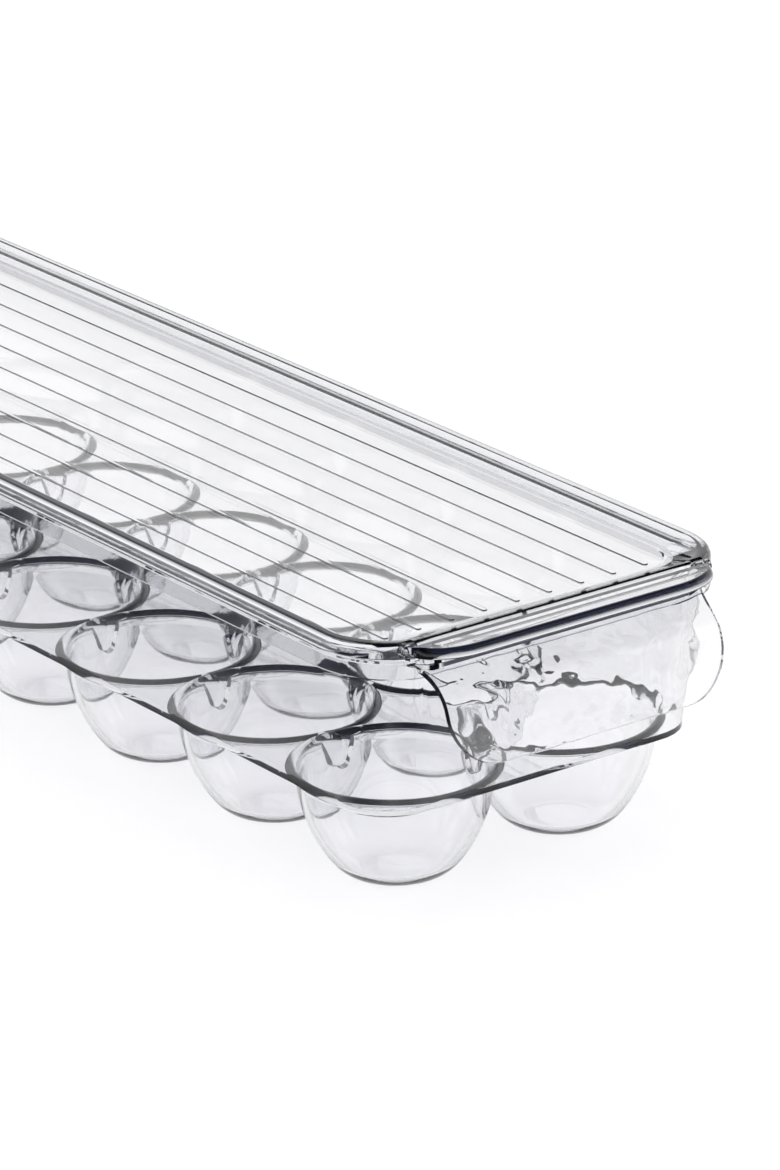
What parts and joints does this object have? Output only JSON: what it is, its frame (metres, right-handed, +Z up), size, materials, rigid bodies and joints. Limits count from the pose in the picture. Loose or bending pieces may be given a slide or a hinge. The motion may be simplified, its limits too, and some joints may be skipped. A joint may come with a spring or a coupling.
{
  "type": "egg keeper with flip lid",
  "caption": "Long clear egg keeper with round cups hung from a deck, a ribbed flip lid hinged at the handle end, a flat ledge and a curved pull flap.",
  "frame": {"origin": "on the surface the cups stand on, under the middle of the overall length and width", "axes": "+X along the length towards the handle, +Z up, +Y to the left when looking along +X"},
  "size_m": [0.3708, 0.1086, 0.0709],
  "materials": {
    "clear_tray": "clear, polished, faint cool tint",
    "clear_lid": "clear, polished, faint cool tint"
  },
  "bodies": {
    "tray": {"egg_cup_01": "clear_tray", "egg_cup_02": "clear_tray", "egg_cup_03": "clear_tray", "egg_cup_04": "clear_tray", "egg_cup_05": "clear_tray", "egg_cup_06": "clear_tray", "egg_cup_07": "clear_tray", "egg_cup_08": "clear_tray", "egg_cup_09": "clear_tray", "egg_cup_10": "clear_tray", "egg_cup_11": "clear_tray", "egg_cup_12": "clear_tray", "egg_cup_13": "clear_tray", "egg_cup_14": "clear_tray", "handle_flap": "clear_tray", "handle_ledge": "clear_tray", "hinge_socket_left": "clear_tray", "hinge_socket_right": "clear_tray", "tray_rim_front": "clear_tray", "tray_rim_left": "clear_tray", "tray_rim_rear": "clear_tray", "tray_rim_right": "clear_tray", "tray_wall_front": "clear_tray", "tray_wall_left": "clear_tray", "tray_wall_rear": "clear_tray", "tray_wall_right": "clear_tray"},
    "lid": {"hinge_pin_left": "clear_lid", "hinge_pin_right": "clear_lid", "lid_border_front": "clear_lid", "lid_border_left": "clear_lid", "lid_border_rear": "clear_lid", "lid_border_right": "clear_lid", "lid_panel": "clear_lid"}
  },
  "joints": [
    {"name": "lid_hinge", "type": "hinge", "parent": "tray", "child": "lid", "pos_m": [0.17025, 0, 0.0693], "axis": [0, 1, 0], "range_deg": [0, 110]}
  ]
}
